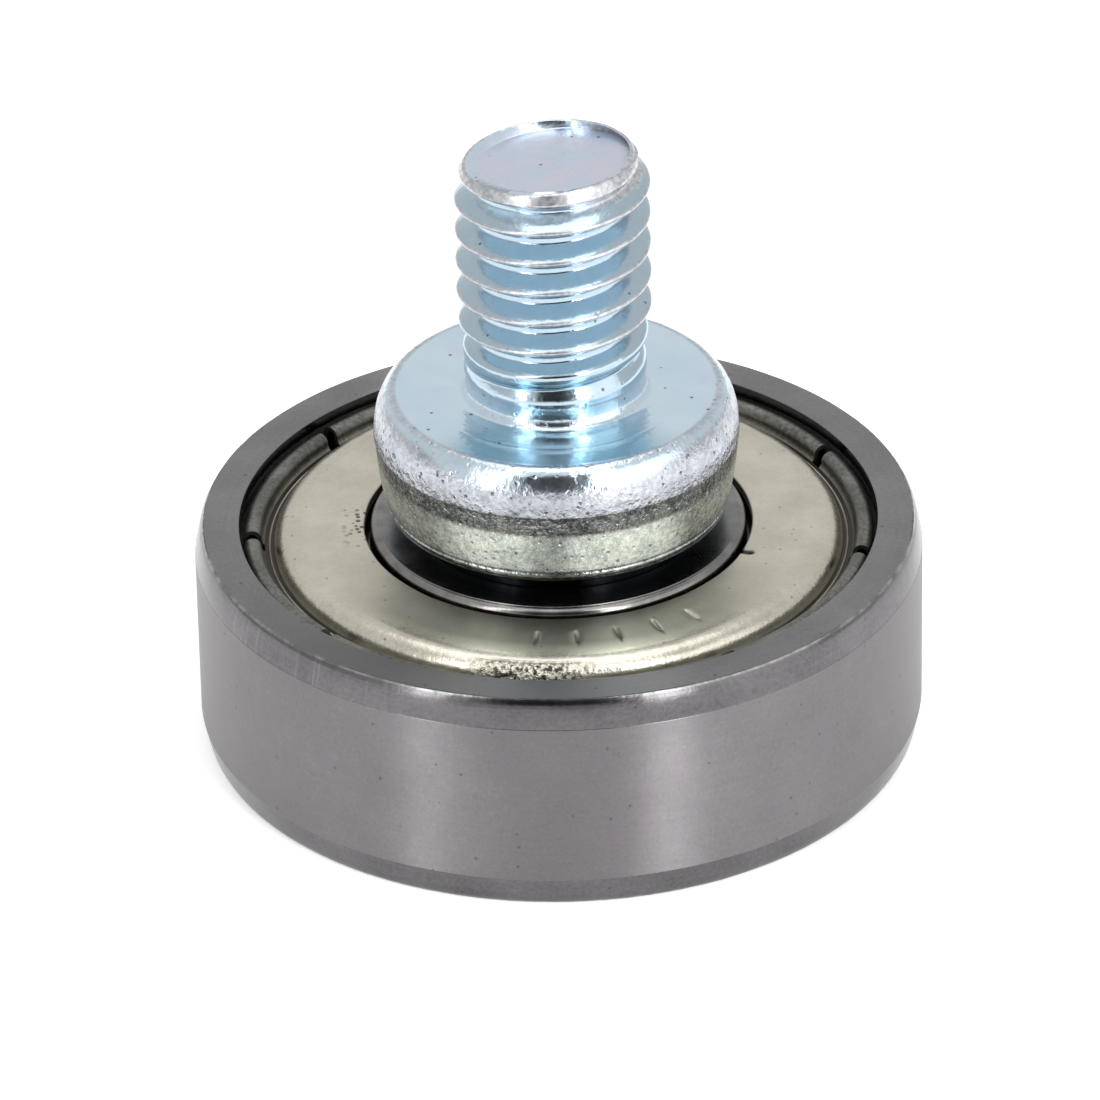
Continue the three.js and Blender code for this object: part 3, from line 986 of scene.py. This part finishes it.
def stud_end():
    """The rim and cupped end face, from the top of the thread inwards to the axis."""
    shares = (0.985, 0.93, 0.82, 0.66, 0.48, 0.30, 0.14)
    verts = []
    for a in around(COLUMNS):
        top_r, top_z = ridge(a)
        wave = ripple(2.2, a, 5.0)
        drop = 0.012 + 0.012 * wave + 0.012 * ripple(11, a, 9.0)
        floor_r = CUP_R + 0.14 * math.cos(a) - 0.02 * math.sin(a) ** 2
        floor_r -= 0.06 * max(0.0, -math.sin(a)) + 0.03 * wave
        outline = [
            (thread_radius(thread_top(a), a), thread_top(a)),
            (top_r + 0.008, top_z - 0.028 - drop / 2),
            (top_r - 0.012, top_z - 0.008 - drop),
            (top_r - 0.035, top_z - drop),
            (top_r - 0.065, top_z - 0.010 - drop),
            (top_r - 0.09, top_z - 0.030 - drop),
            (floor_r + 0.03, plane_height(CUP_PLANE, floor_r, a) + 0.015),
            (floor_r, plane_height(CUP_PLANE, floor_r, a)),
        ]
        outline += [(s * floor_r, plane_height(CUP_PLANE, s * floor_r, a)) for s in shares]
        outline.append((0.0, CUP_PLANE[0]))
        verts += [polar(r, a, z) for r, z in outline]
        rows = len(outline)
    faces = []
    for j in range(COLUMNS):
        k = (j + 1) % COLUMNS
        for i in range(rows - 1):
            here, there = j * rows + i, k * rows + i
            faces.append((here, there, there + 1, here + 1))
    return verts, faces


def side_radius(z):
    return COLLAR_R - 0.05 - SIDE_TAPER * ((SIDE_TOP_Z - z) / SIDE_TAPER_H) ** 2


def stud():
    foot = rounded(
        [
            (0, SWAGE_Z + DIMPLE_DEPTH),
            (DIMPLE_R, SWAGE_Z, 0.12),
            (SWAGE_R, SWAGE_Z, 0.06),
            (SPIGOT_R, SWAGE_Z + 0.2, 0.04),
            (SPIGOT_R, WIDTH, 0.02),
            (BOSS_R, WIDTH, 0.03),
            (BOSS_R, COLLAR_BOTTOM_Z, 0.08),
            (COLLAR_R - 0.42, COLLAR_BOTTOM_Z, 0.05),
            (COLLAR_R - 0.36, COLLAR_BOTTOM_Z + 0.07, 0.05),
            (COLLAR_R - 0.32, COLLAR_BOTTOM_Z + 0.25, 0.02),
            (COLLAR_R - 0.345, COLLAR_BOTTOM_Z + 0.30, 0.01),
            (COLLAR_R - 0.34, COLLAR_BOTTOM_Z + 0.34, 0.01),
            *[(side_radius(z), z) for z in SIDE_ROWS_Z],
            (COLLAR_R - 0.045, SHOULDER_Z - 0.14, 0.02),
            (COLLAR_R - 0.004, SHOULDER_Z - 0.09, 0.02),
            (COLLAR_R, SHOULDER_Z),
        ]
    )
    shoulder = arc(COLLAR_FLAT_R, SHOULDER_Z, COLLAR_R - COLLAR_FLAT_R, SHOULDER_H, 0, 90, 16)
    mark_depths = (0, 0.0012, 0.002, 0.0012)
    turning_marks = [(3.8 - 0.05 * i, COLLAR_TOP_Z - mark_depths[i % 4]) for i in range(17)]
    top = [
        (COLLAR_FLAT_R - 0.1, COLLAR_TOP_Z),
        (3.92, COLLAR_TOP_Z),
        (3.90, COLLAR_TOP_Z - 0.004),
        (3.87, COLLAR_TOP_Z - 0.004),
        (3.84, COLLAR_TOP_Z),
        *turning_marks,
        *NECK_CURVE,
        (NECK_R, THREAD_LOW_Z),
    ]

    def dented(r, z, a):
        """The rounded shoulder is a little uneven."""
        if SHOULDER_Z < z < COLLAR_TOP_Z - 0.02 and r > COLLAR_FLAT_R:
            r -= 0.012 + 0.012 * ripple(2.6 * r, a, 2.0 * z)
        return r, z

    profile = dense(foot + shoulder + top, 0.3, closed=False)
    low = revolve(profile, around(COLUMNS), closed=False, warp=dented)
    return joined(low, thread_grid(), stud_end())


def on_end(r, z):
    return z > THREAD_END_Z and r < cone_radius(z) - 0.015


def worked_at(r, z, a):
    """How strongly forming has pitted the plated surface, from 0 to 1."""
    if z > COLLAR_TOP_Z + 0.05:
        return 0.25 if z < THREAD_LOW_Z else 0.1
    if r > COLLAR_FLAT_R - 0.1 and z > SHOULDER_Z - 0.12:
        shiny = around_mark(a, SHINE)
        down = COLLAR_TOP_Z - z
        hammered = smoothstep(0.05 + 0.3 * shiny, 0.3 + 0.4 * shiny, down)
        edge = 1 - smoothstep(0.01, 0.12, down)
        inner_fade = smoothstep(COLLAR_FLAT_R - 0.1, COLLAR_FLAT_R - 0.02, r)
        return max(hammered, 0.3, 0.7 * edge) * inner_fade
    if COLLAR_BOTTOM_Z + 0.25 < z < COLLAR_TOP_Z - 0.01:
        return 0.8
    return 0.0


def crest_at(r, z, a):
    """1 on the bruised thread crests and on the sheared rim and point at the free end."""
    if z < CREST_WORN_Z:
        return 0.0
    if z > THREAD_END_Z:
        return smoothstep(ridge(a)[0] - 0.10, ridge(a)[0] - 0.05, r)
    return smoothstep(*CREST_WORN_R, r)


def stain_at(r, z, a):
    """1 in the dark band under the shoulder and on the line of painted shade in the groove above
    the bottom edge, less below the line.
    """
    if r < UNDERSIDE_R:
        return 0.0
    below = 0.45 * (1 - smoothstep(*STAIN_LINE_Z[2:], z))
    return max(below, band(z, *STAIN_LINE_Z), band(z, *STAIN_BAND_Z))


def film_at(r, z, a):
    """1 where a dark cyan reflection is painted on the collar in front of the neck, less in the
    middle.
    """
    if abs(z - COLLAR_TOP_Z) > 0.03 or r > COLLAR_FLAT_R:
        return 0.0
    return around_mark(a, FILM) * (1 - 0.45 * around_mark(a, FILM_MIDDLE))


def oiled_at(r, z, a):
    """1 on the boss and under the collar, painted black as shade in the gap over the bearing."""
    return 1.0 if r < UNDERSIDE_R and WIDTH - 0.01 < z < COLLAR_BOTTOM_Z + 0.01 else 0.0


def side_at(r, z, a):
    return 1.0 if r > 5.1 and COLLAR_BOTTOM_Z - 0.01 < z < SIDE_TOP_Z else 0.0


def sheen_at(r, z, a):
    """1 where a bright sheen is painted on the front of the collar's side, less in a streak down
    it.
    """
    worn = 1 - 0.45 * around_mark(a, WORN_STREAK)
    return side_at(r, z, a) * around_mark(a, CLEAN) * worn * band(z, *CLEAN_BAND_Z)


def thread_at(r, z, a):
    return 0.0 if on_end(r, z) else smoothstep(*THREAD_TINT_Z, z)


def groove_at(r, z, a):
    """1 on the flank below each crest, painted darker and bluer as shade, which the flank beneath
    it reflects.
    """
    if on_end(r, z):
        return 0.0
    return band(thread_phase(z, a), *GROOVE_BAND) * smoothstep(*GROOVE_TINT_Z, z)


def face_at(r, z, a):
    """1 on the floor of the cup in the free end."""
    return 1.0 if on_end(r, z) and r < CUP_R + 0.02 else 0.0


# ---------------------------------------------------------------- balls, cage and rivets


def ball(index):
    bm = bmesh.new()
    bmesh.ops.create_icosphere(bm, subdivisions=4, radius=BALL_R)
    low, high = box_mm(f"ball_{index}")
    centre = (low + high) / 2
    angle = 2 * math.pi * (index - 1) / BALL_COUNT
    centre.x, centre.y = PITCH_R * math.cos(angle), PITCH_R * math.sin(angle)
    verts = [tuple(v.co + centre) for v in bm.verts]
    faces = [tuple(v.index for v in f.verts) for f in bm.faces]
    bm.free()
    return verts, faces


FLIP = Matrix.Translation((0, 0, WIDTH * MM)) @ Matrix.Rotation(math.pi, 4, "X")

steel = ground_steel("ring_ground_steel", (0.205, 0.202, 0.203), (0.32, 0.315, 0.317), 0.35, 0.41)
ring = piece("outer_ring_fine", outer_ring(), "tread", "outer_ring", sharp_deg=14)
paint(
    ring,
    corner=corner_at,
    edge=edge_at,
    smear=smear_at,
    scuffed=scuffed_at,
    tread=tread_at,
)
ring.data.materials.append(steel)

inner = piece("inner_ring_fine", inner_ring(), "stud", "inner_ring")
paint(inner, corner=inner_corner_at, wiped=wiped_at)
inner.data.materials.append(inner_steel())

sheet = shield_steel()
for node, turn in (("shield_upper", None), ("shield_lower", FLIP)):
    plate = piece(f"{node}_fine", shield(), "tread", node, turned=turn)
    level = (lambda z: z) if turn is None else (lambda z: WIDTH - z)
    paint(
        plate,
        bend=bend_at,
        rolled=rolled_at,
        soiled=lambda r, z, a: soiled_at(r, level(z), a),
        grease=lambda r, z, a: grease_at(r, level(z), a),
        curl=curl_at,
        hollow=lambda r, z, a: hollow_at(r, level(z), a),
    )
    plate.data.materials.append(sheet)

zinc = piece("stud_fine", stud(), "stud", "stud", sharp_deg=50)
paint(
    zinc,
    worked=worked_at,
    crest=crest_at,
    stain=stain_at,
    side=side_at,
    sheen=sheen_at,
    film=film_at,
    oiled=oiled_at,
    thread=thread_at,
    groove=groove_at,
    face=face_at,
)
zinc.data.materials.append(zinc_plate())

chrome = ball_steel()
for i in range(1, BALL_COUNT + 1):
    made = piece(f"ball_{i}_fine", ball(i), f"ball_{i}", f"ball_{i}")
    made.data.materials.append(chrome)

strip = cage_steel()
rivets = [f"cage_rivet_{i}" for i in range(1, BALL_COUNT + 1)]
for node in ["cage_upper", "cage_lower"] + rivets:
    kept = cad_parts[node]
    kept.data.materials.clear()
    kept.data.materials.append(strip)


# ---------------------------------------------------------------- stage, light and camera


WHITE = (1.0, 1.0, 1.0, 1.0)


def plain(name, grey, glow=0.0):
    s = Shader(name, Roughness=0.9, Emission_Strength=glow, Specular_IOR_Level=0.1)
    s.to("Emission Color", WHITE)
    s.to("Base Color", (grey, grey, grey, 1.0))
    return s.material


def stage_sheet(name, half, centre, toward, material):
    mesh = bpy.data.meshes.new(name)
    corners = [(-half, -half, 0), (half, -half, 0), (half, half, 0), (-half, half, 0)]
    mesh.from_pydata(corners, [], [(0, 1, 2, 3)])
    obj = bpy.data.objects.new(name, mesh)
    bpy.context.scene.collection.objects.link(obj)
    facing = Vector(toward).to_track_quat("Z", "Y").to_matrix().to_4x4()
    obj.matrix_world = Matrix.Translation(centre) @ facing
    mesh.materials.append(material)


# The camera was fitted to the photo. From here on, lengths are in metres.
TARGET = Vector((0, 0, 0.006))
ELEVATION = math.radians(30.313)
ROLL = math.radians(-1.1257)
DISTANCE = 0.250
SHIFT_RIGHT = 0.00026366
SHIFT_UP = 0.00021058
LENS = 270.4

back = Vector((0, -math.cos(ELEVATION), math.sin(ELEVATION)))
right = Vector((1, 0, 0))
up = Vector((0, math.sin(ELEVATION), math.cos(ELEVATION)))
view_right = math.cos(ROLL) * right + math.sin(ROLL) * up
view_up = -math.sin(ROLL) * right + math.cos(ROLL) * up

camera_data = bpy.data.cameras.new("camera")
camera_data.lens = LENS
camera_data.sensor_width = 36
camera_data.clip_start = 0.01
camera_data.clip_end = 20
camera = bpy.data.objects.new("camera", camera_data)
bpy.context.scene.collection.objects.link(camera)
axes = Matrix((view_right, view_up, back)).transposed().to_4x4()
place = TARGET + DISTANCE * back - SHIFT_RIGHT * view_right - SHIFT_UP * view_up
camera.matrix_world = Matrix.Translation(place) @ axes
bpy.context.scene.camera = camera

# The floor lies a hair below the part. The dark sheet behind the camera shades the part's front.
FLOOR_AT = (0, 0, -0.00001)
SHADE_AT = TARGET + 0.45 * back
stage_sheet("floor", 3.0, FLOOR_AT, (0, 0, 1), plain("floor_white", 0.92, glow=0.32))
stage_sheet("camera_shade", 0.19, SHADE_AT, -back, plain("shade_black", 0.01))

LIGHT_DISTANCE = 0.9


def soft_light(name, azimuth, elevation, size, radiance):
    """An area light that faces the part. Azimuth is from the camera's side, to the right."""
    a, e = math.radians(azimuth), math.radians(elevation)
    direction = Vector((math.sin(a) * math.cos(e), -math.cos(a) * math.cos(e), math.sin(e)))
    light = bpy.data.lights.new(name, "AREA")
    light.shape = "RECTANGLE"
    light.size, light.size_y = size
    light.energy = radiance * math.pi * size[0] * size[1]
    obj = bpy.data.objects.new(name, light)
    bpy.context.scene.collection.objects.link(obj)
    obj.matrix_world = (
        Matrix.Translation(TARGET + direction * LIGHT_DISTANCE)
        @ direction.to_track_quat("Z", "Y").to_matrix().to_4x4()
    )


soft_light("strip_left", -42, 31, (0.12, 1.05), 7.0)
soft_light("strip_right", 32, 31, (0.18, 1.05), 8.2)
soft_light("side_fill", 64, 25, (0.65, 0.8), 0.9)
soft_light("soft_top", 180, 85, (0.7, 0.7), 1.5)

world = bpy.data.worlds.new("studio")
bpy.context.scene.world = world
world.use_nodes = True
backdrop = world.node_tree.nodes["Background"]
backdrop.inputs["Color"].default_value = WHITE
backdrop.inputs["Strength"].default_value = 0.78
bpy.context.scene.view_settings.view_transform = "Standard"
bpy.context.scene.view_settings.look = "None"
